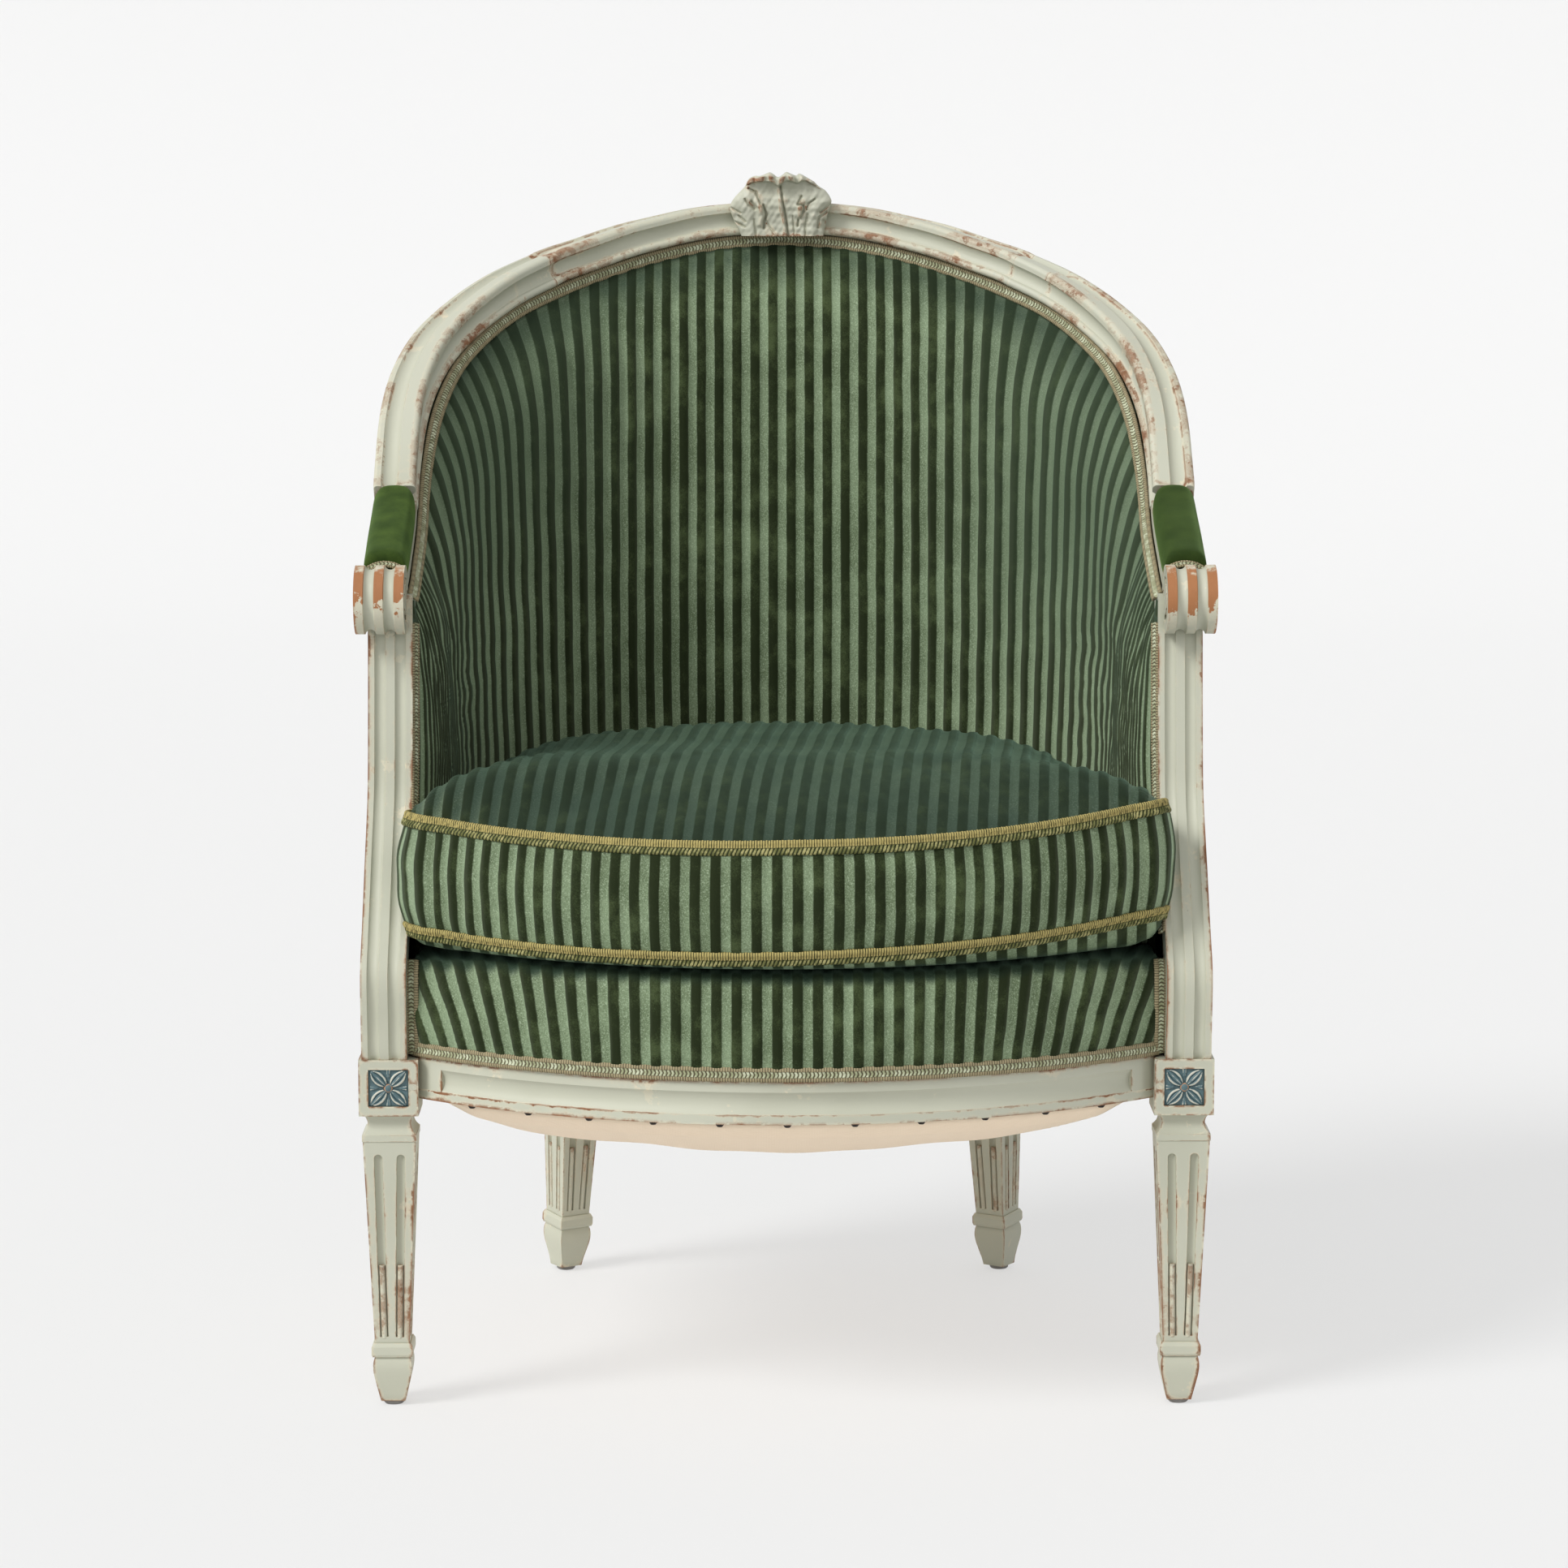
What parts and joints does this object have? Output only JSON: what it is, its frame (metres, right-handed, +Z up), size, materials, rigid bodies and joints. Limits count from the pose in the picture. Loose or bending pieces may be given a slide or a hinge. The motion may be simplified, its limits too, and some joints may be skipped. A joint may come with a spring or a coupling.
{
  "type": "bergere armchair",
  "caption": "Barrel-backed bergere armchair: carved, painted wooden frame, fluted tapered legs, scrolled arms, striped velvet upholstery and a loose crowned seat cushion.",
  "frame": {"origin": "on the floor, under the middle of the chair's overall box", "axes": "+Z up, the sitter faces -Y, +X to the right in a view from the front"},
  "size_m": [0.672, 0.6808, 0.952],
  "materials": {
    "painted_wood": "grey-green paint over beech, worn at the edges",
    "bare_wood": "plain beech",
    "rosette_paint": "blue-grey paint rubbed on the high spots",
    "striped_velvet": "cut and uncut velvet stripes",
    "plain_velvet": "plain cut velvet",
    "pale_braid": "woven braid",
    "gold_braid": "woven braid with gold edges",
    "dust_cloth": "plain cotton",
    "jute": "woven jute",
    "spring_steel": "drawn steel",
    "tack_iron": "blued iron",
    "glide_grey": "matt"
  },
  "bodies": {
    "chair": {"arm_front_gimp_left": "pale_braid", "arm_front_gimp_right": "pale_braid", "arm_left": "painted_wood", "arm_pad_gimp_left": "pale_braid", "arm_pad_gimp_right": "pale_braid", "arm_pad_left": "plain_velvet", "arm_pad_right": "plain_velvet", "arm_right": "painted_wood", "arm_support_left": "painted_wood", "arm_support_right": "painted_wood", "back_gimp": "pale_braid", "back_rail": "painted_wood", "back_side_left": "painted_wood", "back_side_right": "painted_wood", "back_webbing": "jute", "corner_block_screws": "spring_steel", "corner_blocks": "bare_wood", "corner_rosettes": "rosette_paint", "crest_carving": "painted_wood", "crest_rail": "painted_wood", "dust_cover": "dust_cloth", "dust_cover_tacks": "tack_iron", "foot_glides": "glide_grey", "front_leg_left": "painted_wood", "front_leg_right": "painted_wood", "front_rail": "painted_wood", "inside_back": "striped_velvet", "joint_pegs": "painted_wood", "outside_cover": "striped_velvet", "outside_gimp": "pale_braid", "rear_leg_left": "painted_wood", "rear_leg_right": "painted_wood", "seat_deck": "striped_velvet", "seat_front_gimp": "pale_braid", "seat_springs": "spring_steel", "seat_webbing_cross": "jute", "seat_webbing_long": "jute", "side_rail_left": "painted_wood", "side_rail_right": "painted_wood", "spring_canvas": "jute"},
    "cushion": {"seat_cushion": "striped_velvet", "cushion_gimp_upper": "gold_braid", "cushion_gimp_lower": "gold_braid"}
  },
  "joints": [
    {"name": "cushion_lift", "type": "slide", "parent": "chair", "child": "cushion", "axis": [0, 0, 1], "range_m": [0, 0.6]}
  ]
}
